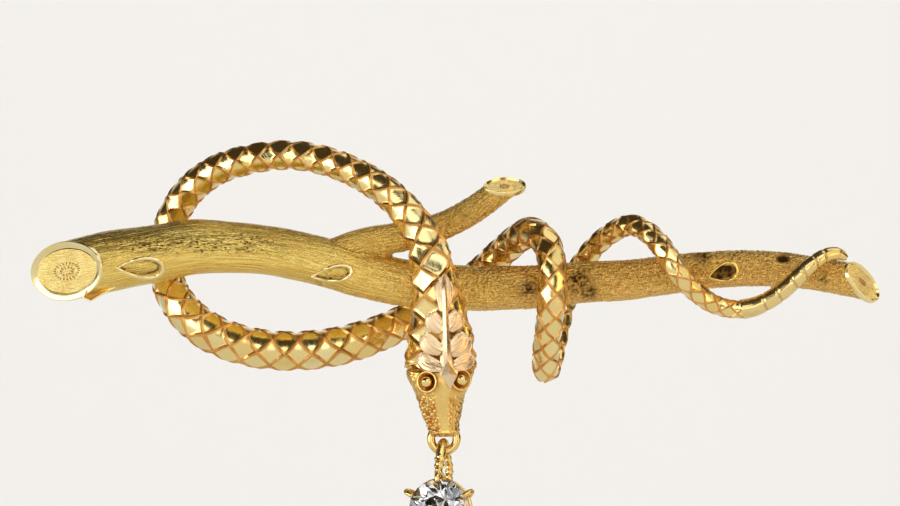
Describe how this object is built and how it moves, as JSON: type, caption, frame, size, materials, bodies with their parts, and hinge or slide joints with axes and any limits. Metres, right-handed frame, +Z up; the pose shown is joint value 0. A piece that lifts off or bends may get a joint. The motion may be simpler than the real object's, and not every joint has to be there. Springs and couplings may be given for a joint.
{
  "type": "snake brooch with a hanging diamond drop",
  "caption": "Gold bar brooch: a scaled snake wound round a cut branch, a leaf on its head, holding a ring with a swinging diamond drop in its mouth.",
  "frame": {"origin": "middle of the pin stem at the back, where the brooch pins on", "axes": "+X to the right along the branch, +Y back towards the cloth, +Z up; the front faces -Y"},
  "size_m": [0.0595, 0.0118, 0.0288],
  "materials": {
    "bark_gold": "matt gold, chased like bark, darker in the furrows",
    "scale_gold": "polished gold scales with fine frosted cuts between them",
    "rose_gold": "satin rose gold with engraved veins",
    "bright_gold": "polished yellow gold",
    "diamond": "colourless faceted stone"
  },
  "bodies": {
    "brooch": {"branch": "bark_gold", "snake": "scale_gold", "crest_leaf": "rose_gold", "eye_left": "bright_gold", "eye_right": "bright_gold", "brooch_pin": "bright_gold"},
    "ring": {"mouth_ring": "bright_gold"},
    "drop": {"drop_setting": "bright_gold", "drop_diamond": "diamond"}
  },
  "joints": [
    {"name": "ring_swing", "type": "hinge", "parent": "brooch", "child": "ring", "pos_m": [-0.00043, -0.0088, -0.01123], "axis": [0, 1, 0], "range_deg": [-30, 30]},
    {"name": "drop_swing", "type": "hinge", "parent": "ring", "child": "drop", "pos_m": [-0.00043, -0.0088, -0.01255], "axis": [1, 0, 0], "range_deg": [-60, 60]}
  ]
}
